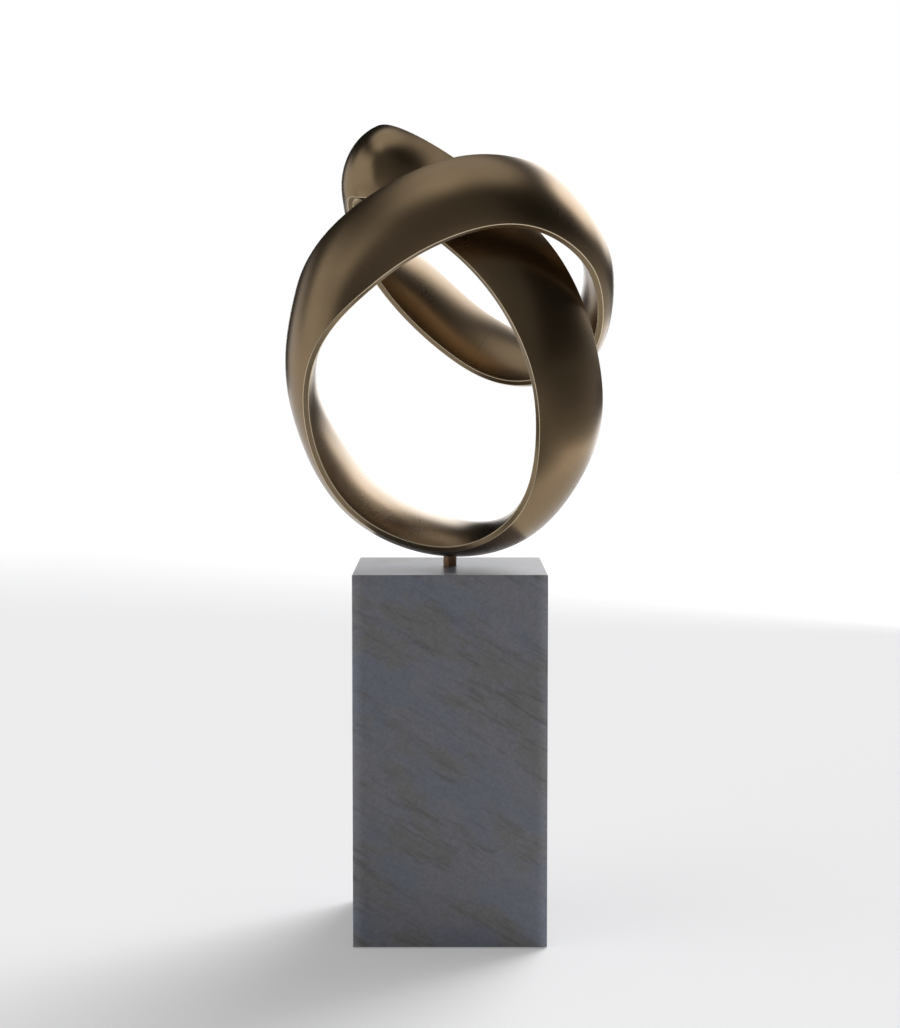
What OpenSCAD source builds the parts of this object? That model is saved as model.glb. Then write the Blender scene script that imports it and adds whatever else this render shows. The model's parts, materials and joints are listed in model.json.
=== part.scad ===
// Metal knot sculpture: one closed bronze band, looped over and under itself,
// that turns on a single pin above a slate clad plinth.
// Millimetres, +Z up, the front faces -Y. The origin is the centre of the
// plinth's underside, on the floor and on the pin's axis.

/* [Knot band] */
// Width of the band from rim to rim
band_w = 134; // [118:1:140]
// Bulge of the band's outer face above its rims
outer_bulge = 27; // [22:0.5:30]
// Bulge of the outer face over the front arch and up the crossing, where it is flatter
flat_bulge = 16; // [14:0.5:22]
// Bulge of the band's inner face above its rims
inner_bulge = 12.5; // [9:0.5:15]
// Thickness of the flat rims
rim_t = 9; // [7:0.5:11]
// Chamfer along both edges of each rim
rim_chamfer = 1.2; // [0.6:0.1:1.6]
// Wall of the hollow casting
band_wall = 5; // [4:0.5:6]
// Solid metal left inside each rim
rim_solid = 9; // [7:0.5:12]
// Rise of the band's middle line, from its lowest to its highest point
knot_rise = 595; // [570:1:630]

/* [Band joints] */
// Length of the sleeve inside each joint
sleeve_len = 50; // [40:1:60]
// Wall of the sleeve
sleeve_wall = 4; // [3:0.5:5]
// Gap between the sleeve and the casting
sleeve_gap = 0.5; // [0.3:0.1:0.8]
// Diameter of the pins that lock a sleeve
joint_pin_d = 6; // [5:0.5:8]
// Distance of each pin from the joint's seam
joint_pin_reach = 13; // [10:0.5:16]
// Spread of a pair of pins across the band
joint_pin_spread = 56; // [40:1:64]

/* [Foot pin] */
// Outer diameter of the pin that shows
pin_d = 21; // [19:0.5:24]
// Height of the pin that shows, measured on its axis
pin_show = 19.5; // [14:0.5:26]
// Depth of the pin inside the foot block
pin_socket = 12; // [9:0.5:14]
// Diameter of the foot block inside the band
foot_block_d = 48; // [40:1:54]
// Diameter of the steel spindle
spindle_d = 16; // [12:0.5:17]
// Spindle length above the middle of the band
spindle_rise = 6; // [2:0.5:8]

/* [Plinth] */
// Width and depth of the plinth
plinth_w = 300; // [260:1:360]
// Height of the plinth above the floor
plinth_h = 580; // [480:1:760]
// Thickness of the slate slabs
slab_t = 20; // [15:1:25]
// Chamfer on the slabs' outer edges
arris = 1; // [0.5:0.1:2]
// Shadow gap between the side slabs and the floor
shadow_gap = 2; // [1:0.5:5]
// Radial gap between the pin and the top slab
pin_slab_gap = 1; // [0.5:0.1:2]
// Outer size of the square corner posts
post_w = 30; // [25:1:40]
// Wall of the corner posts
post_wall = 3; // [2:0.5:4]
// Thickness of the caps welded into the posts
post_cap_t = 14; // [12:1:20]
// Thickness of the base board
board_t = 12; // [10:1:18]
// Thickness of the mounting plate
plate_t = 12; // [10:1:16]
// Gap round the mounting plate and the base board
panel_gap = 1; // [0.5:0.1:2]
// Diameter of the screws in the plate and the board
screw_d = 8; // [6:1:8]
// Depth of a screw head below its face
head_sink = 0.5; // [0.3:0.1:1]

/* [Turning bearing] */
// Outer diameter of the housing's tube
housing_d = 40; // [36:1:46]
// Length of the housing's tube below its flange
housing_len = 70; // [60:1:90]
// Diameter of the housing's flange
flange_d = 94; // [88:1:110]
// Thickness of the housing's flange
flange_t = 8; // [6:0.5:12]
// Wall of the bushes
bush_wall = 4; // [3:0.5:5]
// Length of each bush inside the housing
bush_len = 25; // [20:1:28]
// Thickness of the bushes' flanges
bush_flange_t = 3; // [2:0.5:4]
// Overhang of the bushes' flanges
bush_flange_over = 4; // [3:0.5:5]
// Radial running clearance of the spindle in its bushes
run_gap = 0.05; // [0.02:0.01:0.09]
// Axial play of the turning parts
axial_gap = 0.2; // [0.1:0.05:0.4]
// Thickness of the thrust washer
thrust_t = 2; // [1:0.5:3]
// Circle of the housing's bolts
bolt_circle = 70; // [66:1:76]
// Diameter of the housing's bolts
bolt_d = 8; // [6:1:10]
// Thickness of the spindle's washer
washer_t = 3; // [2:0.5:4]
// Thickness of the spindle's nut
nut_t = 13; // [10:0.5:16]

/* [Hidden] */
$fn = 64;

// Colours of the object
bronze_tone = "#8f8069";
pin_tone = "#6b4a35";
slate_tone = "#6e737c";
steel_tone = "#a9adb1";
bush_tone = "#b08d4f";
board_tone = "#8c7452";

// Route of the band, as stations round the closed loop, from the foot up the
// right side. Each one holds the middle line's x, y and height above the foot
// station, then how the line from the front rim to the back rim leans: to the
// right and upwards, in hundredths of its length. The back rim is always the
// one further from the viewer.
stations = [
    [0, 0, 0, 3, 28], [115, -10, 27, 16, -13], [180, -22, 134, 66, -12],
    [181, -26, 264, 82, 13], [128, -5, 398, 79, 45], [42, 28, 495, 68, 60],
    [-47, 60, 562, 60, 73], [-115, 73, 595, 29, 90], [-142, 105, 584, 23, 76],
    [-139, 133, 536, 31, 32], [-117, 144, 470, 46, 19], [-61, 145, 401, 46, 46],
    [22, 139, 325, 36, 58], [115, 130, 278, 13, 58], [199, 117, 293, -27, 19],
    [233, 92, 373, -15, 4], [223, 48, 457, 13, 24], [160, -10, 522, 22, 64],
    [50, -48, 539, -9, 87], [-75, -62, 493, -39, 80], [-181, -61, 403, -56, 53],
    [-227, -54, 285, -25, 10], [-203, -41, 165, 21, 7], [-129, -22, 54, 24, 28]
];
// Height of the highest station, which the knot's rise scales
top_station = max([for (s = stations) s[2]]);

// Where each cast section starts, as a station number, and its count of rings
seam_at = [-0.4, 1.8, 3.9, 6.1, 9.8, 12.35, 15.3, 17.9, 20.7, 23.6];
ring_count = [16, 17, 16, 22, 15, 17, 17, 20, 21];
// Flat stretches of the outer face: the station numbers between which it flattens,
// and between which it swells again
flat_stretches = [[2, 3, 6, 7], [15.6, 17, 20, 21.4]];
// Steps across the band's outer face, its inner face and along a sleeve
outer_steps = 10;
inner_steps = 6;
sleeve_steps = 3;
ring_points = outer_steps + inner_steps + 6;

// Faces of the band: circular arcs through both rims
half_w = band_w / 2;
function arc_r(b) = (pow(half_w, 2) + pow(b, 2)) / (2 * b);
inner_r = arc_r(inner_bulge);
outer_reach = rim_t / 2 + outer_bulge;
inner_reach = rim_t / 2 + inner_bulge;

// Heights of the foot and of the stack below it
foot_z = plinth_h + pin_show + outer_reach;
plate_top = plinth_h - slab_t;
plate_z = plate_top - plate_t;
bush_top = plate_z + bush_flange_t;
thrust_top = bush_top + thrust_t;
pin_z = thrust_top + axial_gap / 2;
pin_top = foot_z - outer_reach + band_wall + pin_socket;
housing_z = plate_z - flange_t - housing_len;
lower_bush_z = housing_z - bush_flange_t;
washer_z = lower_bush_z - axial_gap / 2 - washer_t;
nut_z = washer_z - nut_t;
spindle_z = nut_z - spindle_d / 4;
spindle_top = foot_z + spindle_rise;
bush_r = spindle_d / 2 + run_gap;
bush_out_r = bush_r + bush_wall;
bush_flange_r = bush_out_r + bush_flange_over;
plate_bore_r = bush_flange_r + panel_gap;

// Places inside the plinth
cavity_w = plinth_w - 2 * slab_t;
panel_w = cavity_w - 2 * panel_gap;
post_at = cavity_w / 2 - post_w / 2;
screw_head_d = 2 * screw_d;
screw_head_t = screw_d / 2;
screw_len = 3 * screw_d;
// Fit of parts pressed or screwed together
tight_gap = 0.02;
// Play of a bolt in its hole, across the hole
bolt_play = 0.5;
// Extra length that carries a cut past a face
cut_over = 1;

// Closed cubic spline through the stations
count = len(stations);
root3 = sqrt(3) - 2;
function pole_share(j) = sqrt(3) * (pow(root3, j) + pow(root3, count - j)) / (1 - pow(root3, count));
function dot_sum(v, i = 0) = i == len(v) - 1 ? v[i] : v[i] + dot_sum(v, i + 1);
poles = [for (k = [0 : count - 1])
    dot_sum([for (j = [0 : count - 1]) pole_share(j) * stations[(k + j) % count]])];
function wrap(k) = (k % count + count) % count;
function pole(k) = poles[wrap(k)];
function blend(u) = let (k = floor(u), f = u - k)
    (pow(1 - f, 3) * pole(k - 1) + (3 * pow(f, 3) - 6 * f * f + 4) * pole(k)
     + (-3 * pow(f, 3) + 3 * f * f + 3 * f + 1) * pole(k + 1) + pow(f, 3) * pole(k + 2)) / 6;
function slope(u) = let (k = floor(u), f = u - k)
    (-pow(1 - f, 2) * pole(k - 1) + (3 * f * f - 4 * f) * pole(k)
     + (-3 * f * f + 2 * f + 1) * pole(k + 1) + f * f * pole(k + 2)) / 2;

// Frame of the band at station number u: its middle, the direction from front
// rim to back rim, the outward normal and the length per station
size = knot_rise / top_station;
function xyz(v) = [v[0], v[1], v[2]];
function unit(v) = v / norm(v);
function lean(v) = let (x = v[3] / 100, z = v[4] / 100) [x, sqrt(1 - x * x - z * z), z];
function frame(u) = let (p = blend(u), d = xyz(slope(u)), t = unit(d), w0 = lean(p),
                         w = unit(w0 - t * (w0 * t)))
    [xyz(p) * size + [0, 0, foot_z], w, cross(w, t), norm(d) * size];

// Bulge of the outer face at station number u
function ease(x) = let (t = min(max(x, 0), 1)) t * t * (3 - 2 * t);
function passed(u, a, b) = ease((u - a) / (b - a));
function flatness(u) = let (v = u - count * floor(u / count))
    dot_sum([for (f = flat_stretches) passed(v, f[0], f[1]) - passed(v, f[2], f[3])]);
function bulge(u) = outer_bulge + (flat_bulge - outer_bulge) * flatness(u);

// Cross section for an outer bulge b, at depth off below the faces, with half
// width half and cut corners: pairs of a place across the band and a height
// along its normal
function outer_h(s, off, b) = rim_t / 2 + b - arc_r(b) + sqrt(pow(arc_r(b) - off, 2) - s * s);
function inner_h(s, off) = inner_r - inner_reach - sqrt(pow(inner_r - off, 2) - s * s);
function section(half, off, b) = let (e = half - rim_chamfer) concat(
    [for (i = [0 : outer_steps]) let (s = e * (2 * i / outer_steps - 1)) [s, outer_h(s, off, b)]],
    [[half, outer_h(half, off, b) - rim_chamfer], [half, inner_h(half, off) + rim_chamfer]],
    [for (i = [0 : inner_steps]) let (s = e * (1 - 2 * i / inner_steps)) [s, inner_h(s, off)]],
    [[-half, inner_h(half, off) + rim_chamfer], [-half, outer_h(half, off, b) - rim_chamfer]]);
// Half width and depth of each surface of the band and of what lies inside it
skin = [half_w, 0];
hollow = [half_w - rim_solid, band_wall];
sleeve_skin = [hollow[0] - sleeve_gap, band_wall + sleeve_gap];
sleeve_hollow = [sleeve_skin[0] - 3 * sleeve_wall, sleeve_skin[1] + sleeve_wall];

function ring(u, shape) = let (f = frame(u))
    [for (p = section(shape[0], shape[1], bulge(u))) f[0] + f[1] * p[0] + f[2] * p[1]];
// Two triangles of a four cornered face
function quad(a, b, c, d) = [[a, b, c], [a, c, d]];
function flat(v) = [for (a = v) for (b = a) b];

// Hollow length of band between two station numbers
module band_tube(u0, u1, steps, outside, inside) {
    m = ring_points;
    outer_pts = flat([for (k = [0 : steps]) ring(u0 + (u1 - u0) * k / steps, outside)]);
    inner_pts = flat([for (k = [0 : steps]) ring(u0 + (u1 - u0) * k / steps, inside)]);
    inner_0 = m * (steps + 1);
    last = m * steps;
    walls = flat([for (k = [0 : steps - 1]) for (i = [0 : m - 1])
        let (a = k * m + i, b = k * m + (i + 1) % m)
        concat(quad(a, a + m, b + m, b),
               quad(inner_0 + a, inner_0 + b, inner_0 + b + m, inner_0 + a + m))]);
    ends = flat([for (i = [0 : m - 1]) let (j = (i + 1) % m)
        concat(quad(i, j, inner_0 + j, inner_0 + i),
               quad(last + i, inner_0 + last + i, inner_0 + last + j, last + j))]);
    polyhedron(points = concat(outer_pts, inner_pts), faces = concat(walls, ends), convexity = 6);
}

// Solid length of band between two station numbers
module band_core(u0, u1, steps, outside) {
    m = ring_points;
    pts = flat([for (k = [0 : steps]) ring(u0 + (u1 - u0) * k / steps, outside)]);
    last = m * steps;
    walls = flat([for (k = [0 : steps - 1]) for (i = [0 : m - 1])
        let (a = k * m + i, b = k * m + (i + 1) % m) quad(a, a + m, b + m, b)]);
    ends = [[for (i = [0 : m - 1]) i], [for (i = [m - 1 : -1 : 0]) last + i]];
    polyhedron(points = pts, faces = concat(walls, ends), convexity = 4);
}

// Places of the four pins of joint number j: station number and place across
function pin_places(j) = let (u = seam_at[j], du = joint_pin_reach / frame(u)[3])
    [for (side = [-1, 1]) for (s = [-0.5, 0.5] * joint_pin_spread) [u + side * du, s]];
pin_in = band_wall + sleeve_gap + sleeve_wall;

// Cylinder along the band's normal, from depth d0 to depth d1 below the inner face
module inner_face_peg(place, r, d0, d1) {
    f = frame(place[0]);
    top = inner_h(place[1], 0);
    tilt = acos(f[2][2]);
    turn = atan2(f[2][1], f[2][0]);
    translate(f[0] + f[1] * place[1]) rotate([0, tilt, turn]) translate([0, 0, top + d0])
        cylinder(r = r, h = d1 - d0);
}

module pin_holes(j) {
    for (place = pin_places(j))
        inner_face_peg(place, joint_pin_d / 2 + tight_gap, -4 * cut_over, pin_in + 2 * cut_over);
}

// Cast section number j of the band, from seam j to seam j + 1
module cast_section(j) {
    color(bronze_tone) difference() {
        band_tube(seam_at[j], seam_at[j + 1], ring_count[j], skin, hollow);
        pin_holes(j);
        pin_holes(j + 1);
        if (j == 0)
            translate([0, 0, plinth_h]) cylinder(d = pin_d + 2 * tight_gap, h = pin_top - plinth_h);
    }
}

module joint_sleeve(j) {
    u = seam_at[j];
    du = sleeve_len / 2 / frame(u)[3];
    color(bush_tone) difference() {
        band_tube(u - du, u + du, sleeve_steps, sleeve_skin, sleeve_hollow);
        pin_holes(j);
    }
}

module joint_pins() {
    color(bush_tone) for (j = [0 : len(ring_count) - 1])
        for (place = pin_places(j)) inner_face_peg(place, joint_pin_d / 2, head_sink, pin_in);
}

// Bronze block that fills the hollow over the pin and takes the spindle's thread
module foot_block() {
    du = foot_block_d / frame(0)[3];
    color(bronze_tone) difference() {
        intersection() {
            band_core(-du, du, 4, sleeve_skin);
            translate([0, 0, foot_z - band_w / 2]) cylinder(d = foot_block_d, h = band_w);
        }
        translate([0, 0, foot_z - band_w / 2]) {
            cylinder(d = pin_d + 2 * tight_gap, h = pin_top - foot_z + band_w / 2);
            cylinder(d = spindle_d + 2 * tight_gap, h = spindle_rise + cut_over + band_w / 2);
        }
    }
}

module tube(outer, inner, z0, z1) {
    difference() {
        translate([0, 0, z0]) cylinder(d = outer, h = z1 - z0);
        translate([0, 0, z0 - cut_over]) cylinder(d = inner, h = z1 - z0 + 2 * cut_over);
    }
}

module pin_sleeve() {
    color(pin_tone) tube(pin_d, spindle_d + 2 * tight_gap, pin_z, pin_top);
}

module spindle() {
    color(steel_tone) translate([0, 0, spindle_z]) cylinder(d = spindle_d, h = spindle_top - spindle_z);
}

module spindle_washer() {
    color(steel_tone) tube(2 * bush_flange_r, spindle_d + 2 * tight_gap, washer_z, washer_z + washer_t);
}

module spindle_nut() {
    color(steel_tone) difference() {
        translate([0, 0, nut_z]) cylinder(d = 1.73 * spindle_d, h = nut_t, $fn = 6);
        translate([0, 0, nut_z - cut_over]) cylinder(d = spindle_d + 2 * tight_gap, h = nut_t + 2 * cut_over);
    }
}

module thrust_washer() {
    color(bush_tone) tube(2 * bush_flange_r, 2 * bush_r + panel_gap, bush_top, thrust_top);
}

module upper_bush() {
    color(bush_tone) {
        tube(2 * bush_out_r, 2 * bush_r, plate_z - bush_len, plate_z);
        tube(2 * bush_flange_r, 2 * bush_r, plate_z, bush_top);
    }
}

module lower_bush() {
    color(bush_tone) {
        tube(2 * bush_out_r, 2 * bush_r, housing_z, housing_z + bush_len);
        tube(2 * bush_flange_r, 2 * bush_r, lower_bush_z, housing_z);
    }
}

// One copy of its children at each of the housing's bolts
module at_bolts() {
    for (a = [45 : 90 : 315]) rotate(a) translate([bolt_circle / 2, 0, 0]) children();
}

module bearing_housing() {
    bore = 2 * bush_out_r + 2 * tight_gap;
    color(steel_tone) difference() {
        union() {
            translate([0, 0, housing_z]) cylinder(d = housing_d, h = housing_len + flange_t);
            translate([0, 0, plate_z - flange_t]) cylinder(d = flange_d, h = flange_t);
        }
        translate([0, 0, housing_z - cut_over])
            cylinder(d = bore, h = housing_len + flange_t + 2 * cut_over);
        at_bolts() translate([0, 0, plate_z - flange_t - cut_over])
            cylinder(d = bolt_d + bolt_play, h = flange_t + 2 * cut_over);
    }
}

module housing_bolts() {
    grip = flange_t + plate_t - 2 * cut_over;
    color(steel_tone) at_bolts() {
        translate([0, 0, plate_z - flange_t]) cylinder(d = bolt_d, h = grip);
        translate([0, 0, plate_z - flange_t - 0.65 * bolt_d])
            cylinder(d = 1.8 * bolt_d, h = 0.65 * bolt_d, $fn = 6);
    }
}

// One copy of its children at each corner post
module at_posts() {
    for (x = [-1, 1]) for (y = [-1, 1]) translate([x * post_at, y * post_at, 0]) children();
}

// Countersunk screw or its hole, head up, with the head's top at the origin
module countersunk(extra) {
    translate([0, 0, -screw_head_t]) cylinder(d1 = screw_d + extra, d2 = screw_head_d + extra, h = screw_head_t);
    translate([0, 0, -screw_len]) cylinder(d = screw_d + extra, h = screw_len - screw_head_t);
}

module mounting_plate() {
    color(steel_tone) difference() {
        translate([-panel_w / 2, -panel_w / 2, plate_z]) cube([panel_w, panel_w, plate_t]);
        translate([0, 0, plate_z - cut_over]) cylinder(r = plate_bore_r, h = plate_t + 2 * cut_over);
        at_bolts() translate([0, 0, plate_z - cut_over])
            cylinder(d = bolt_d + 2 * tight_gap, h = plate_t + cut_over / 2);
        at_posts() screw_hole_down(plate_top);
    }
}

// Countersunk hole from a face at height z downwards
module screw_hole_down(z) {
    translate([0, 0, z - head_sink]) countersunk(2 * tight_gap);
    translate([0, 0, z - head_sink]) cylinder(d = screw_head_d + 2 * tight_gap, h = head_sink + cut_over);
}

module plate_screws() {
    color(steel_tone) at_posts() translate([0, 0, plate_top - head_sink]) countersunk(0);
}

module board_screws() {
    color(steel_tone) at_posts() translate([0, 0, head_sink]) mirror([0, 0, 1]) countersunk(0);
}

// Square steel post with a tapped cap welded into each end
module corner_post(x, y) {
    hollow_w = post_w - 2 * post_wall;
    color(steel_tone) translate([x * post_at, y * post_at, 0]) difference() {
        translate([-post_w / 2, -post_w / 2, board_t]) cube([post_w, post_w, plate_z - board_t]);
        translate([-hollow_w / 2, -hollow_w / 2, board_t + post_cap_t])
            cube([hollow_w, hollow_w, plate_z - board_t - 2 * post_cap_t]);
        translate([0, 0, board_t - cut_over]) cylinder(d = screw_d + 2 * tight_gap, h = post_cap_t + 2 * cut_over);
        translate([0, 0, plate_z - post_cap_t - cut_over])
            cylinder(d = screw_d + 2 * tight_gap, h = post_cap_t + 2 * cut_over);
    }
}

module base_board() {
    color(board_tone) difference() {
        translate([-panel_w / 2, -panel_w / 2, 0]) cube([panel_w, panel_w, board_t]);
        at_posts() mirror([0, 0, 1]) screw_hole_down(0);
    }
}

// Outside of the slate: a square block with a fine chamfer on every visible edge
module block_profile() {
    w = plinth_w / 2;
    polygon([[-w, shadow_gap], [w, shadow_gap], [w, plinth_h - arris], [w - arris, plinth_h],
             [arris - w, plinth_h], [-w, plinth_h - arris]]);
}

module slate_block() {
    w = plinth_w / 2;
    intersection() {
        linear_extrude(plinth_h) polygon([[-w, arris - w], [arris - w, -w], [w - arris, -w], [w, arris - w],
                                          [w, w - arris], [w - arris, w], [arris - w, w], [-w, w - arris]]);
        across_y() block_profile();
        rotate(90) across_y() block_profile();
    }
}

// Extrudes an outline drawn in X and Z through the whole depth
module across_y() {
    translate([0, plinth_w, 0]) rotate([90, 0, 0]) linear_extrude(2 * plinth_w) children();
}

// The front slab's share of the block, bounded by its mitres
module front_wedge() {
    w = plinth_w / 2;
    intersection() {
        linear_extrude(2 * plinth_h) polygon([[0, 0], [-2 * w, -2 * w], [2 * w, -2 * w]]);
        rotate(90) across_y() polygon([[0, 0], [0, plinth_h - w], [-2 * w, plinth_h + w], [-2 * w, 0]]);
    }
}

module plinth_cavity() {
    translate([-cavity_w / 2, -cavity_w / 2, -cut_over]) cube([cavity_w, cavity_w, plate_top + cut_over]);
}

module side_slab(a) {
    color(slate_tone) difference() {
        intersection() {
            slate_block();
            rotate(a) front_wedge();
        }
        plinth_cavity();
    }
}

module plinth_top_slab() {
    w = plinth_w / 2;
    color(slate_tone) difference() {
        intersection() {
            slate_block();
            across_y() polygon([[0, plinth_h - w], [2 * w, plinth_h + w], [-2 * w, plinth_h + w]]);
            rotate(90) across_y() polygon([[0, plinth_h - w], [2 * w, plinth_h + w], [-2 * w, plinth_h + w]]);
        }
        plinth_cavity();
        translate([0, 0, plate_top - cut_over])
            cylinder(d = pin_d + 2 * pin_slab_gap, h = slab_t + 2 * cut_over);
    }
}

cast_section(0);  // band_foot_arc
cast_section(1);  // band_right_rise
cast_section(2);  // band_upper_cross
cast_section(3);  // band_crest_bend
cast_section(4);  // band_back_sweep
cast_section(5);  // band_right_turn
cast_section(6);  // band_front_arch
cast_section(7);  // band_left_shoulder
cast_section(8);  // band_left_fall
joint_sleeve(0);  // joint_sleeve_1
joint_sleeve(1);  // joint_sleeve_2
joint_sleeve(2);  // joint_sleeve_3
joint_sleeve(3);  // joint_sleeve_4
joint_sleeve(4);  // joint_sleeve_5
joint_sleeve(5);  // joint_sleeve_6
joint_sleeve(6);  // joint_sleeve_7
joint_sleeve(7);  // joint_sleeve_8
joint_sleeve(8);  // joint_sleeve_9
joint_pins();
foot_block();
pin_sleeve();
spindle();
spindle_washer();
spindle_nut();
thrust_washer();
upper_bush();
lower_bush();
bearing_housing();
housing_bolts();
mounting_plate();
plate_screws();
corner_post(-1, -1);  // post_front_left
corner_post(1, -1);  // post_front_right
corner_post(-1, 1);  // post_back_left
corner_post(1, 1);  // post_back_right
base_board();
board_screws();
plinth_top_slab();
side_slab(0);  // plinth_front_slab
side_slab(180);  // plinth_back_slab
side_slab(-90);  // plinth_left_slab
side_slab(90);  // plinth_right_slab
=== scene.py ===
# Metal knot sculpture: one bronze band, looped over and under itself, turning on a
# short pin over a slate plinth. Metres, +Z up, the front faces -Y.
import bpy
import json
import math
import numpy as np
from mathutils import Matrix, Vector


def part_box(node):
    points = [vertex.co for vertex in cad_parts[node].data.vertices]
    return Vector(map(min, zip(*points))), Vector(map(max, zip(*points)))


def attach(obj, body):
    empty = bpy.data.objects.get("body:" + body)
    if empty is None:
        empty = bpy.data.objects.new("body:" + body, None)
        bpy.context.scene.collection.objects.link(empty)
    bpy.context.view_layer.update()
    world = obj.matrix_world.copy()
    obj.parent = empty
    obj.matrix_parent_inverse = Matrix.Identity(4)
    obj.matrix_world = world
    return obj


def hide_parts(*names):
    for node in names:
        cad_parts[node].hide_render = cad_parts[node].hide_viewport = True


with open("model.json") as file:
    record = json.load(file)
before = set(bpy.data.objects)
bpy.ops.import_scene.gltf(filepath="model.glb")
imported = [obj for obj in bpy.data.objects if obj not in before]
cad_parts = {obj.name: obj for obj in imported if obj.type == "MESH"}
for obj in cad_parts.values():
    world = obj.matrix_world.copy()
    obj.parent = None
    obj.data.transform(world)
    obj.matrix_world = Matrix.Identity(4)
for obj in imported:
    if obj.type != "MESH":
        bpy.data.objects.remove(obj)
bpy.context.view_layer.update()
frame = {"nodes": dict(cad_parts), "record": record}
scene = bpy.context.scene
print("frame loaded:", len(frame["nodes"]), "nodes")

# Camera, worked out from the plinth's edges in the 900 x 1028 photograph
cameraFacts = {
    "focalPx": 2083.8,      # focal length in the photograph's pixels
    "longSidePx": 1028,
    "sensor": 36.0,         # mm across the long side
    "distance": 3.3189,     # in front of the pin's axis
    "height": 0.8944,       # above the floor
    "pitchDown": 3.988,     # degrees
}


def makeCamera(facts):
    data = bpy.data.cameras.new("camera")
    data.sensor_width = facts["sensor"]
    data.lens = facts["focalPx"] / facts["longSidePx"] * facts["sensor"]
    cam = bpy.data.objects.new("camera", data)
    cam.location = (0, -facts["distance"], facts["height"])
    cam.rotation_euler = (math.radians(90 - facts["pitchDown"]), 0, 0)
    scene.collection.objects.link(cam)
    scene.camera = cam


makeCamera(cameraFacts)
scene.view_settings.view_transform = "Standard"


# Small helpers for node trees. Most of a noise's values lie within noiseSpan.

noiseSpan = (0.3, 0.7)


def newTree(name):
    material = bpy.data.materials.new(name)
    material.use_nodes = True
    tree = material.node_tree
    tree.nodes.clear()
    return material, tree


def addNode(tree, kind, **inputs):
    node = tree.nodes.new(kind)
    for key, value in inputs.items():
        node.inputs[key.replace("_", " ")].default_value = value
    return node


def feed(tree, value, socket):
    # Set a number or a colour on a socket, or link an output to it
    if isinstance(value, (int, float)):
        socket.default_value = value
    elif isinstance(value, tuple):
        socket.default_value = (*value, 1.0)
    elif value is not None:
        tree.links.new(value, socket)


def noiseNode(tree, vector, scale, detail, rough, distortion=0.0):
    node = addNode(tree, "ShaderNodeTexNoise", Scale=scale, Detail=detail, Roughness=rough,
                   Distortion=distortion)
    tree.links.new(vector, node.inputs["Vector"])
    return node.outputs["Fac"]


def rampNode(tree, factor, low, high):
    node = tree.nodes.new("ShaderNodeValToRGB")
    for element, place, colour in zip(node.color_ramp.elements, noiseSpan, (low, high)):
        element.position = place
        element.color = (*colour, 1.0)
    tree.links.new(factor, node.inputs["Fac"])
    return node.outputs["Color"]


def mathNode(tree, operation, a, b=None):
    node = tree.nodes.new("ShaderNodeMath")
    node.operation = operation
    feed(tree, a, node.inputs[0])
    feed(tree, b, node.inputs[1])
    return node.outputs["Value"]


def mapRange(tree, value, fromMin, fromMax, toMin, toMax, smooth=False):
    node = tree.nodes.new("ShaderNodeMapRange")
    node.interpolation_type = "SMOOTHSTEP" if smooth else "LINEAR"
    for socket, number in zip(node.inputs[1:5], (fromMin, fromMax, toMin, toMax)):
        socket.default_value = number
    tree.links.new(value, node.inputs["Value"])
    return node.outputs["Result"]


def swing(tree, noise, middle, reach):
    # From the middle less the reach to the middle and the reach, over the noise's span
    return mapRange(tree, noise, *noiseSpan, middle - reach, middle + reach)


def mixColour(tree, factor, a, b, blend="MIX"):
    node = tree.nodes.new("ShaderNodeMix")
    node.data_type = "RGBA"
    node.blend_type = blend
    feed(tree, factor, node.inputs[0])
    feed(tree, a, node.inputs[6])
    feed(tree, b, node.inputs[7])
    return node.outputs[2]


def mappingNode(tree, vector, scale=(1, 1, 1), turn=(0, 0, 0), shift=(0, 0, 0)):
    # It scales before it turns
    node = addNode(tree, "ShaderNodeMapping", Scale=scale, Rotation=[math.radians(a) for a in turn],
                   Location=shift)
    tree.links.new(vector, node.inputs["Vector"])
    return node.outputs["Vector"]


def objectSpace(tree):
    return tree.nodes.new("ShaderNodeTexCoord").outputs["Object"]


def splitVector(tree, vector):
    node = tree.nodes.new("ShaderNodeSeparateXYZ")
    tree.links.new(vector, node.inputs[0])
    return node.outputs


def finishTree(tree, shader, bumpHeight=None, bumpDepth=0.0, bumpStrength=1.0):
    out = tree.nodes.new("ShaderNodeOutputMaterial")
    tree.links.new(shader.outputs[0], out.inputs["Surface"])
    if bumpHeight is not None:
        bump = addNode(tree, "ShaderNodeBump", Strength=bumpStrength, Distance=bumpDepth)
        tree.links.new(bumpHeight, bump.inputs["Height"])
        tree.links.new(bump.outputs["Normal"], shader.inputs["Normal"])


# Bronze of the band: a satin brown patina under clear lacquer, with a painted highlight: pale lines
# along the arrises.
# A noise, here and below, is its scale, its detail, its roughness and for some its
# distortion. Its scale is per metre, unless another one is given for each axis.
bandFinish = {
    "deep": (0.225, 0.151, 0.077),
    "warm": (0.26, 0.175, 0.091),
    # Colour of each part that the mesh marks, and how strongly it covers
    "marks": {
        "rimShare": ((0.21, 0.15, 0.082), 1.0),
        # painted highlight: the arrises are painted pale, so they show as light lines also where no
        # light catches them
        "arrisHighlightShare": ((0.85, 0.72, 0.50), 1.0),
        "seamShare": ((0.05, 0.035, 0.02), 0.45),
    },
    "roughness": 0.29,
    "roughnessSwing": -0.03,
    "lacquer": 0.6,
    "lacquerRoughness": 0.29,
    "lacquerIor": 1.5,
    "clouds": (9.0, 5, 0.6),         # patina clouds
    "grain": (900.0, 2, 0.5),        # fine blasted grain
    "grainDepth": 0.00004,
    "grainStrength": 0.5,
}


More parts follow.
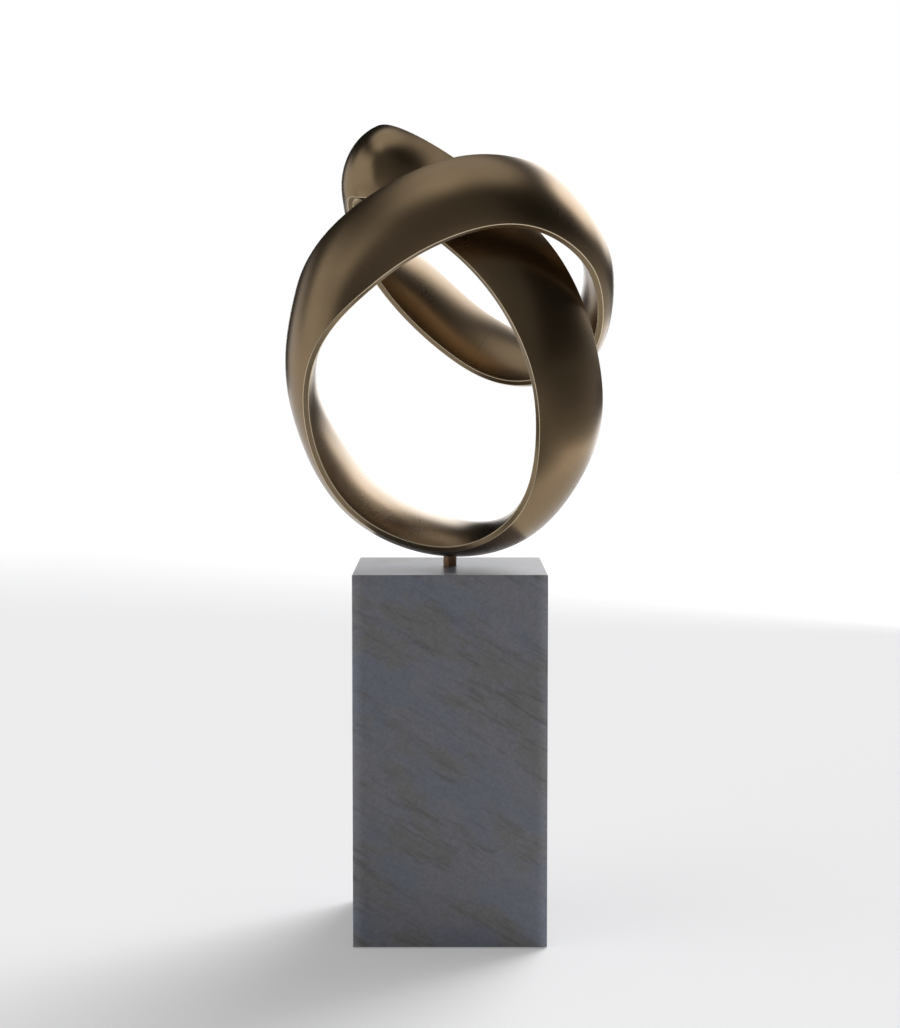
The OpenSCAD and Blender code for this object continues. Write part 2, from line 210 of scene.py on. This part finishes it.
def bandBronze(facts):
    material, tree = newTree("bandBronze")
    space = objectSpace(tree)
    clouds = noiseNode(tree, space, *facts["clouds"])
    grain = noiseNode(tree, space, *facts["grain"])
    colour = rampNode(tree, clouds, facts["deep"], facts["warm"])
    for label, (paint, strength) in facts["marks"].items():
        mark = tree.nodes.new("ShaderNodeAttribute")
        mark.attribute_name = label
        share = mathNode(tree, "MULTIPLY", mark.outputs["Fac"], strength)
        colour = mixColour(tree, share, colour, paint)
    shader = addNode(tree, "ShaderNodeBsdfPrincipled", Metallic=1.0, Coat_Weight=facts["lacquer"],
                     Coat_Roughness=facts["lacquerRoughness"], Coat_IOR=facts["lacquerIor"])
    feed(tree, colour, shader.inputs["Base Color"])
    rough = swing(tree, clouds, facts["roughness"], facts["roughnessSwing"])
    feed(tree, rough, shader.inputs["Roughness"])
    finishTree(tree, shader, grain, facts["grainDepth"], facts["grainStrength"])
    return material


# Turned or plated metal, with fine lines and cloudy patches
metalFinish = {
    "lineScale": (60, 60, 900),      # lines per metre along each axis
    "lines": (1.0, 3, 0.6),
    "patches": (40, 3, 0.5),
    "roughnessSwing": 0.06,
    "lineDepth": 0.00003,
    "lineStrength": 0.4,
}


def plainMetal(name, light, dark, roughness):
    facts = metalFinish
    material, tree = newTree(name)
    space = objectSpace(tree)
    lines = noiseNode(tree, mappingNode(tree, space, facts["lineScale"]), *facts["lines"])
    patches = noiseNode(tree, space, *facts["patches"])
    shader = addNode(tree, "ShaderNodeBsdfPrincipled", Metallic=1.0)
    feed(tree, rampNode(tree, patches, dark, light), shader.inputs["Base Color"])
    feed(tree, swing(tree, lines, roughness, facts["roughnessSwing"]), shader.inputs["Roughness"])
    finishTree(tree, shader, lines, facts["lineDepth"], facts["lineStrength"])
    return material


# Slate: dark blue-grey, honed, with streaks that fall from left to right
slateFinish = {
    "base": (0.204, 0.207, 0.234),
    "blue": (0.187, 0.199, 0.245),
    "brown": (0.192, 0.188, 0.190),
    "streak": (0.085, 0.083, 0.087),
    "streakTurn": (0, -30, 0),
    "bandScale": (4.8, 7, 8.5),      # broad bands of blue and brown
    "blueBand": (1.0, 6, 0.6, 0.4),
    "brownBand": (1.3, 6, 0.62, 0.4),
    "brownShift": (3, 5, 7),
    "lineScale": (15, 36, 115),      # fine dark lines
    "lines": (1.0, 6, 0.62, 0.35),
    "wisps": (0.45, 6, 0.66, 0.3),
    "wispShift": (9, 2, 4),
    # Where each noise starts to show and shows fully, and its least and full share
    "blueShows": (0.47, 0.58, 0, 1),
    "brownShows": (0.49, 0.60, 0, 1),
    "linesShow": (0.50, 0.67, 0, 0.5),
    "linesInBrown": (0.42, 0.58, 0.2, 1.0),
    "wispsShow": (0.53, 0.74, 0, 0.35),
    "speckle": (210, 5, 0.7),
    "speckleSwing": 0.16,
    "paintedLightWidth": 0.018,              # painted light: the stone is painted paler along its upright edges
    "paintedLightLift": 1.5,                 # by this factor
    "roughness": 0.34,
    "roughnessSwing": 0.05,
    "ior": 1.5,
    "reliefDepth": 0.00025,
    "reliefStrength": 0.5,
}


def slateStone(facts):
    material, tree = newTree("slateStone")
    space = objectSpace(tree)
    along = mappingNode(tree, space, turn=facts["streakTurn"])
    bands = mappingNode(tree, along, facts["bandScale"])
    blueBand = noiseNode(tree, bands, *facts["blueBand"])
    bands = mappingNode(tree, along, facts["bandScale"], shift=facts["brownShift"])
    brownBand = noiseNode(tree, bands, *facts["brownBand"])
    lines = noiseNode(tree, mappingNode(tree, along, facts["lineScale"]), *facts["lines"])
    lower = mappingNode(tree, along, facts["lineScale"], shift=facts["wispShift"])
    wisps = noiseNode(tree, lower, *facts["wisps"])
    speckle = noiseNode(tree, space, *facts["speckle"])

    blue = mapRange(tree, blueBand, *facts["blueShows"], True)
    brown = mapRange(tree, brownBand, *facts["brownShows"], True)
    colour = mixColour(tree, blue, facts["base"], facts["blue"])
    colour = mixColour(tree, brown, colour, facts["brown"])
    dark = mapRange(tree, lines, *facts["linesShow"], True)
    dark = mathNode(tree, "MULTIPLY", dark, mapRange(tree, brownBand, *facts["linesInBrown"], True))
    dark = mathNode(tree, "MAXIMUM", dark, mapRange(tree, wisps, *facts["wispsShow"], True))
    colour = mixColour(tree, dark, colour, facts["streak"])

    # Painted light: paler towards the upright edges, times the speckle's own swing in tone
    place = splitVector(tree, space)
    beside = mathNode(tree, "MINIMUM", mathNode(tree, "ABSOLUTE", place["X"]),
                      mathNode(tree, "ABSOLUTE", place["Y"]))
    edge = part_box("plinth_top_slab")[1].x
    paintedEdgeLight = mapRange(tree, beside, edge - facts["paintedLightWidth"], edge, 1.0, facts["paintedLightLift"], True)
    speckleAndPaintedLight = mathNode(tree, "MULTIPLY", swing(tree, speckle, 1.0, facts["speckleSwing"]), paintedEdgeLight)
    speckleAndLightGrey = tree.nodes.new("ShaderNodeCombineColor")
    for socket in speckleAndLightGrey.inputs:
        feed(tree, speckleAndPaintedLight, socket)
    colour = mixColour(tree, 1.0, colour, speckleAndLightGrey.outputs["Color"], "MULTIPLY")

    shader = addNode(tree, "ShaderNodeBsdfPrincipled", IOR=facts["ior"])
    feed(tree, colour, shader.inputs["Base Color"])
    rough = swing(tree, speckle, facts["roughness"], facts["roughnessSwing"])
    feed(tree, rough, shader.inputs["Roughness"])
    relief = mathNode(tree, "SUBTRACT", speckle, dark)
    finishTree(tree, shader, relief, facts["reliefDepth"], facts["reliefStrength"])
    return material


birchFinish = {
    "light": (0.46, 0.33, 0.20),
    "dark": (0.30, 0.20, 0.11),
    "grainScale": (6, 90, 90),
    "grain": (1.0, 5, 0.6, 0.6),
    "grainDepth": 0.0002,
    "grainStrength": 0.4,
    "roughness": 0.6,
}


def birchBoard(facts):
    material, tree = newTree("birchBoard")
    space = mappingNode(tree, objectSpace(tree), facts["grainScale"])
    grain = noiseNode(tree, space, *facts["grain"])
    shader = addNode(tree, "ShaderNodeBsdfPrincipled", Roughness=facts["roughness"])
    feed(tree, rampNode(tree, grain, facts["dark"], facts["light"]), shader.inputs["Base Color"])
    finishTree(tree, shader, grain, facts["grainDepth"], facts["grainStrength"])
    return material


# The metals take a pale colour, a dark one and a roughness
finishes = {
    "band_bronze": bandBronze(bandFinish),
    "pin_bronze": plainMetal("pinBronze", (0.24, 0.155, 0.095), (0.16, 0.09, 0.052), 0.38),
    "bush_bronze": plainMetal("bushBronze", (0.62, 0.45, 0.22), (0.50, 0.35, 0.16), 0.30),
    "steel": plainMetal("zincSteel", (0.62, 0.63, 0.65), (0.46, 0.47, 0.50), 0.34),
    "slate": slateStone(slateFinish),
    "board": birchBoard(birchFinish),
}
for part in frame["record"]["subparts"]:
    mesh = frame["nodes"][part["node"]].data
    mesh.materials.clear()
    mesh.materials.append(finishes[part["material_slot"]])
print("materials:", len(finishes))


# The band: the same stations as the solids have, drawn with a finer section.
# Each station holds x, y and height above the foot station in millimetres, then how
# the line from front rim to back rim leans, to the right and up, in hundredths.
# The other lengths are in millimetres too.
bandFacts = {
    "stations": [
        (0, 0, 0, 3, 28), (115, -10, 27, 16, -13), (180, -22, 134, 66, -12),
        (181, -26, 264, 82, 13), (128, -5, 398, 79, 45), (42, 28, 495, 68, 60),
        (-47, 60, 562, 60, 73), (-115, 73, 595, 29, 90), (-142, 105, 584, 23, 76),
        (-139, 133, 536, 31, 32), (-117, 144, 470, 46, 19), (-61, 145, 401, 46, 46),
        (22, 139, 325, 36, 58), (115, 130, 278, 13, 58), (199, 117, 293, -27, 19),
        (233, 92, 373, -15, 4), (223, 48, 457, 13, 24), (160, -10, 522, 22, 64),
        (50, -48, 539, -9, 87), (-75, -62, 493, -39, 80), (-181, -61, 403, -56, 53),
        (-227, -54, 285, -25, 10), (-203, -41, 165, 21, 7), (-129, -22, 54, 24, 28),
    ],
    "width": 134,
    "outerBulge": 27,
    "flatBulge": 16,         # the outer face is flatter up the crossing and over the arch
    # Station numbers between which it flattens, and between which it swells again
    "flatStretches": [(2, 3, 6, 7), (15.6, 17, 19.2, 21.8)],
    "innerBulge": 12.5,
    "rim": 9,
    "arris": 2.0,            # rounding between a face and a rim
    "footAbove": 51,         # height of the foot station above the plinth's top
    "outerSteps": 34,
    "innerSteps": 26,
    "rimSteps": 4,
    "arrisSteps": 4,
    "ringEvery": 4.5,        # from ring to ring along the band
    "fewestRings": 12,
    "measureSteps": 40,      # pieces in which a cast section's length is measured
    "nudge": 0.01,           # part of a station, for the direction along the surface
    "seamWidth": 0.9,        # half the width of a seam that shows
    "seamEdge": 0.4,         # width of its soft edge
    "seamDepth": 0.25,
    "seamBelowRim": 1,       # it starts so far inside the rim, on the inner face
}
# Name of each cast section, the node that it stands for, and where it starts
bandSections = [
    ("bandFootArc", "band_foot_arc", -0.4), ("bandRightRise", "band_right_rise", 1.8),
    ("bandUpperCross", "band_upper_cross", 3.9), ("bandCrestBend", "band_crest_bend", 6.1),
    ("bandBackSweep", "band_back_sweep", 9.8), ("bandRightTurn", "band_right_turn", 12.35),
    ("bandFrontArch", "band_front_arch", 15.3), ("bandLeftShoulder", "band_left_shoulder", 17.9),
    ("bandLeftFall", "band_left_fall", 20.7),
]
seamsThatShow = (12.35, 23.6)
mm = 0.001
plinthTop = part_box("plinth_top_slab")[1].z

stations = np.array(bandFacts["stations"], float)
stationCount = len(stations)


def splinePoles(points):
    # Control points of the closed cubic spline that passes through the stations
    n = len(points)
    z = math.sqrt(3) - 2
    share = [math.sqrt(3) * (z ** j + z ** (n - j)) / (1 - z ** n) for j in range(n)]
    return np.array([sum(share[j] * points[(k + j) % n] for j in range(n)) for k in range(n)])


poles = splinePoles(stations)


def bandFrame(u):
    # Middle, direction from front to back rim, outward normal and slope at each u
    u = np.asarray(u, float)
    k = np.floor(u).astype(int)
    f = (u - k)[:, None]
    a, b, c, d = (poles[(k + i) % stationCount] for i in (-1, 0, 1, 2))
    p = ((1 - f) ** 3 * a + (3 * f ** 3 - 6 * f ** 2 + 4) * b
         + (-3 * f ** 3 + 3 * f ** 2 + 3 * f + 1) * c + f ** 3 * d) / 6
    slope = (-(1 - f) ** 2 * a + (3 * f ** 2 - 4 * f) * b
             + (-3 * f ** 2 + 2 * f + 1) * c + f ** 2 * d)[:, :3] / 2
    tangent = slope / np.linalg.norm(slope, axis=1)[:, None]
    qx, qz = p[:, 3] / 100, p[:, 4] / 100
    across = np.stack([qx, np.sqrt(1 - qx ** 2 - qz ** 2), qz], axis=1)
    across -= tangent * np.sum(across * tangent, axis=1)[:, None]
    across /= np.linalg.norm(across, axis=1)[:, None]
    return p[:, :3], across, np.cross(across, tangent), slope


def outerBulge(u):
    def passed(start, end):
        t = np.clip((u % stationCount - start) / (end - start), 0, 1)
        return t * t * (3 - 2 * t)

    flat = sum(passed(a, b) - passed(c, d) for a, b, c, d in bandFacts["flatStretches"])
    return bandFacts["outerBulge"] + (bandFacts["flatBulge"] - bandFacts["outerBulge"]) * flat


def bandSection(facts, bulge):
    # Closed outline of the section: place across, height along the normal, the
    # outline's direction there, and its share of a rim and of a rim's arris
    half = facts["width"] / 2
    r = facts["arris"]
    rows = []
    corner = {}
    for side, rise in ((1, bulge), (-1, facts["innerBulge"])):
        radius = (half ** 2 + rise ** 2) / (2 * rise)
        centre = side * (facts["rim"] / 2 + rise - radius)
        high = centre + side * math.sqrt((radius - r) ** 2 - (half - r) ** 2)
        corner[side] = (radius, centre, high, math.atan2(side * (high - centre), half - r))

    def face(side, steps):
        radius, centre, high, reach = corner[side]
        span = math.pi / 2 - reach
        for i in range(steps + 1):
            a = side * span * (2 * i / steps - 1)
            rows.append((radius * math.sin(a), centre + side * radius * math.cos(a),
                         side * math.cos(a), -math.sin(a), 0.0, 0.0))

    def edge(way):
        # Rounded arris, flat rim and rounded arris, on the side that way gives

        def rounding(side, turn, rim):
            # Point beside a face, at a share of the turn from the rim to that face
            a = side * corner[side][3] * turn
            rows.append((way * (half - r + r * math.cos(a)), corner[side][2] + r * math.sin(a),
                         math.sin(a), -way * math.cos(a), rim, 1 - abs(2 * rim - 1)))

        steps = facts["arrisSteps"]
        for i in range(1, steps + 1):
            rounding(way, 1 - i / steps, i / steps)
        start, end = corner[way][2], corner[-way][2]
        for i in range(1, facts["rimSteps"]):
            rows.append((way * half, start + (end - start) * i / facts["rimSteps"], 0.0, -way, 1.0, 0.0))
        for i in range(steps):
            rounding(-way, i / steps, 1 - i / steps)

    face(1, facts["outerSteps"])
    edge(1)
    face(-1, facts["innerSteps"])
    edge(-1)
    return np.array(rows)


def bandPoints(u):
    # Points of the band's surface at each u, with the frame and section they come from
    middle, across, normal, slope = bandFrame(u)
    bulges, place = np.unique(outerBulge(u), return_inverse=True)
    shape = np.array([bandSection(bandFacts, bulge) for bulge in bulges])[place]
    points = middle[:, None] + across[:, None] * shape[..., 0:1] + normal[:, None] * shape[..., 1:2]
    return points, across, normal, shape


def ringPlaces(u0, u1):
    # Even rings, with close ones at each end for a seam
    grid = np.linspace(u0, u1, bandFacts["measureSteps"] + 1)
    middles = (grid[1:] + grid[:-1]) / 2
    length = np.linalg.norm(bandFrame(middles)[3], axis=1).mean() * (u1 - u0)
    count = max(bandFacts["fewestRings"], int(length / bandFacts["ringEvery"]))
    places = np.linspace(u0, u1, count + 1)
    for end, way in ((u0, 1), (u1, -1)):
        pace = np.linalg.norm(bandFrame([end])[3])
        near = end + way * bandFacts["seamWidth"] / pace
        places = np.append(places, [near, near + way * bandFacts["seamEdge"] / pace])
    return np.sort(places)


def sectionMesh(name, u0, u1):
    u = ringPlaces(u0, u1)
    points, across, normal, shape = bandPoints(u)
    rings, count = shape.shape[:2]
    innerFace = shape[0, :, 1] < -bandFacts["rim"] / 2 - bandFacts["seamBelowRim"]
    seam = np.zeros((rings, count))
    for row, place in ((0, u0), (rings - 1, u1)):
        if np.isclose(place % stationCount, seamsThatShow).any():
            seam[row, innerFace] = 1.0
            points[row, innerFace] += normal[row] * bandFacts["seamDepth"]
    nudge = bandFacts["nudge"]
    along = bandPoints(u + nudge)[0] - bandPoints(u - nudge)[0]
    roundWay = across[:, None] * shape[..., 2:3] + normal[:, None] * shape[..., 3:4]
    outward = np.cross(roundWay, along)
    outward /= np.linalg.norm(outward, axis=2)[..., None]
    grid = np.arange(rings * count).reshape(rings, count)
    nxt = np.roll(grid, -1, axis=1)
    faces = np.stack([grid[:-1], nxt[:-1], nxt[1:], grid[1:]], axis=-1).reshape(-1, 4)
    points = points.reshape(-1, 3) * mm
    points[:, 2] += plinthTop + bandFacts["footAbove"] * mm
    mesh = bpy.data.meshes.new(name)
    mesh.from_pydata(points.tolist(), [], faces.tolist() + [grid[0, ::-1].tolist(), grid[-1].tolist()])
    mesh.update()
    first = mesh.polygons[len(mesh.polygons) // 2]
    probe = outward.reshape(-1, 3)[first.vertices[0]]
    if first.normal.dot(probe.tolist()) < 0:
        outward = -outward
    mesh.polygons.foreach_set("use_smooth", [True] * len(faces) + [False, False])
    mesh.normals_split_custom_set_from_vertices(outward.reshape(-1, 3).tolist())
    # the arris share places the painted highlight along the arrises
    marks = {"rimShare": shape[..., 4], "arrisHighlightShare": shape[..., 5], "seamShare": seam}
    for label, values in marks.items():
        layer = mesh.attributes.new(label, "FLOAT", "POINT")
        layer.data.foreach_set("value", values.ravel())
    mesh.materials.append(finishes["band_bronze"])
    piece = bpy.data.objects.new(name, mesh)
    scene.collection.objects.link(piece)
    return piece


def makeBand():
    starts = [start for name, node, start in bandSections]
    ends = starts[1:] + [starts[0] + stationCount]
    for (name, node, start), end in zip(bandSections, ends):
        piece = sectionMesh(name, start, end)
        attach(piece, "knot")
        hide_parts(node)


makeBand()
print("band:", len(bandSections), "cast sections")


# Floor and light. Lengths are in metres and angles in degrees.
floorFacts = {
    "half": 14.0,
    "colour": (0.66, 0.66, 0.67),
    # Its own white, which the camera and the metal see on top of the light, and the Y
    # between which that fades in, in front of the plinth
    "ownWhite": 0.23,
    "ownFades": (-2.5, -0.8),
    # Far behind it fades to white: more of its own, from a Y on. On the left and on the
    # right, the X and the length of the fade there.
    "farWhite": 0.26,
    "farFrom": 3.6,
    "farLeft": (-1.8, 5.8),
    "farRight": (1.6, 0.5),
    # To the right of the picture it is whiter, and farther out it goes down to a share
    # of itself, along a line that slants by so much X for each Y
    "sideWhite": 0.5,
    "sideFades": (1.5, 2.6),
    "endsFrom": 3.2,
    "endsOver": 1.2,
    "endSlant": 0.25,
    "endShare": 0.35,
}


def makeFloor(facts):
    half = facts["half"]
    mesh = bpy.data.meshes.new("floor")
    corners = [(-half, -half, 0), (half, -half, 0), (half, half, 0), (-half, half, 0)]
    mesh.from_pydata(corners, [], [(0, 1, 2, 3)])
    material, tree = newTree("paleFloor")
    place = splitVector(tree, objectSpace(tree))
    (left, longFade), (right, shortFade) = facts["farLeft"], facts["farRight"]
    reach = mapRange(tree, place["X"], left, right, longFade, shortFade)
    behind = mathNode(tree, "SUBTRACT", place["Y"], facts["farFrom"])
    far = mapRange(tree, mathNode(tree, "DIVIDE", behind, reach), 0, 1, 0, 1, True)
    white = mathNode(tree, "MULTIPLY", far, facts["farWhite"])
    for axis, fades, strength in (("Y", "ownFades", "ownWhite"), ("X", "sideFades", "sideWhite")):
        more = mapRange(tree, place[axis], *facts[fades], 0, facts[strength], True)
        white = mathNode(tree, "ADD", white, more)
    slant = mathNode(tree, "MULTIPLY", place["Y"], facts["endSlant"])
    out = mathNode(tree, "SUBTRACT", place["X"], slant)
    ends = facts["endsFrom"]
    pale = mapRange(tree, out, ends, ends + facts["endsOver"], 1, facts["endShare"], True)

    shader = addNode(tree, "ShaderNodeBsdfDiffuse", Roughness=0.0)
    feed(tree, mixColour(tree, pale, (0, 0, 0), facts["colour"]), shader.inputs["Color"])
    own = addNode(tree, "ShaderNodeEmission", Color=(1, 1, 1, 1))
    path = tree.nodes.new("ShaderNodeLightPath")
    seen = mathNode(tree, "MAXIMUM", path.outputs["Is Camera Ray"], path.outputs["Is Glossy Ray"])
    white = mathNode(tree, "MULTIPLY", white, pale)
    feed(tree, mathNode(tree, "MULTIPLY", seen, white), own.inputs["Strength"])
    both = tree.nodes.new("ShaderNodeAddShader")
    tree.links.new(shader.outputs[0], both.inputs[0])
    tree.links.new(own.outputs[0], both.inputs[1])
    finishTree(tree, both)
    mesh.materials.append(material)
    floor = bpy.data.objects.new("floor", mesh)
    scene.collection.objects.link(floor)


keyFacts = {
    "azimuth": 32.0,         # to the right of straight behind the knot
    "height": 26.0,          # above the horizon
    "spread": 40.0,          # a large soft box behind
    "strength": 2.95,
    "away": 5.0,
}


def makeKey(facts):
    data = bpy.data.lights.new("keyLight", "SUN")
    data.energy = facts["strength"]
    data.angle = math.radians(facts["spread"])
    lamp = bpy.data.objects.new("keyLight", data)
    lamp.visible_glossy = False     # the metal sees the studio's key walls instead
    a, e = math.radians(facts["azimuth"]), math.radians(facts["height"])
    way = Vector((math.sin(a) * math.cos(e), math.cos(a) * math.cos(e), math.sin(e)))
    lamp.location = way * facts["away"]
    lamp.rotation_euler = way.to_track_quat("Z", "Y").to_euler()
    scene.collection.objects.link(lamp)


# Soft walls of the studio: azimuth, half width, height, half height and soft edge,
# then brightness. Azimuth 0 is behind the knot, 90 is on its right.
studioWalls = {
    "overhead": (0, 200, 90, 28, 7, 0.78),
    "overheadFront": (-150, 32, 68, 12, 8, 1.0),
    "leftWall": (-100, 55, 0, 22, 8, 0.88),
    "leftUpper": (-112, 34, 24, 19, 11, 0.88),
    "keyWall": (27, 25, 25, 15, 5, 2.7),
    "keyRight": (52, 16, 33, 11, 6, 3.3),
    "keyFoot": (14, 10, 6, 6, 3, 2.5),
    "rightGlow": (125, 65, 0, 14, 10, 0.26),
    "frontFill": (178, 26, 22, 26, 12, 0.13),
    "backWall": (0, 16, 5, 7, 2, 1.7),
}
studioDark = 0.012           # between the walls
backdropWhite = 1.0          # what the camera itself sees


def wallShare(tree, azimuth, height, wall):
    # Brightness of a studio wall in a direction
    centre, halfWide, middle, halfHigh, soft = (math.radians(angle) for angle in wall[:5])
    turned = mathNode(tree, "SUBTRACT", azimuth, centre)
    turned = mathNode(tree, "ARCTAN2", mathNode(tree, "SINE", turned), mathNode(tree, "COSINE", turned))
    lifted = mathNode(tree, "SUBTRACT", height, middle)
    share = wall[5]
    for angle, half in ((turned, halfWide), (lifted, halfHigh)):
        away = mathNode(tree, "ABSOLUTE", angle)
        within = mapRange(tree, away, half - soft, half + soft, 1, 0, True)
        share = mathNode(tree, "MULTIPLY", within, share)
    return share


def makeWorld(walls):
    world = bpy.data.worlds.new("studio")
    world.use_nodes = True
    scene.world = world
    tree = world.node_tree
    tree.nodes.clear()
    way = splitVector(tree, tree.nodes.new("ShaderNodeTexCoord").outputs["Generated"])
    azimuth = mathNode(tree, "ARCTAN2", way["X"], way["Y"])
    height = mathNode(tree, "ARCSINE", way["Z"])
    total = studioDark
    for wall in walls.values():
        total = mathNode(tree, "MAXIMUM", wallShare(tree, azimuth, height, wall), total)
    light = addNode(tree, "ShaderNodeBackground", Color=(1, 1, 1, 1))
    feed(tree, total, light.inputs["Strength"])
    white = addNode(tree, "ShaderNodeBackground", Color=(1, 1, 1, 1), Strength=backdropWhite)
    path = tree.nodes.new("ShaderNodeLightPath")
    mix = tree.nodes.new("ShaderNodeMixShader")
    sources = (path.outputs["Is Camera Ray"], light.outputs[0], white.outputs[0])
    for source, socket in zip(sources, mix.inputs):
        tree.links.new(source, socket)
    out = tree.nodes.new("ShaderNodeOutputWorld")
    tree.links.new(mix.outputs[0], out.inputs["Surface"])


makeFloor(floorFacts)
makeWorld(studioWalls)
makeKey(keyFacts)
print("studio: floor, world and key light")
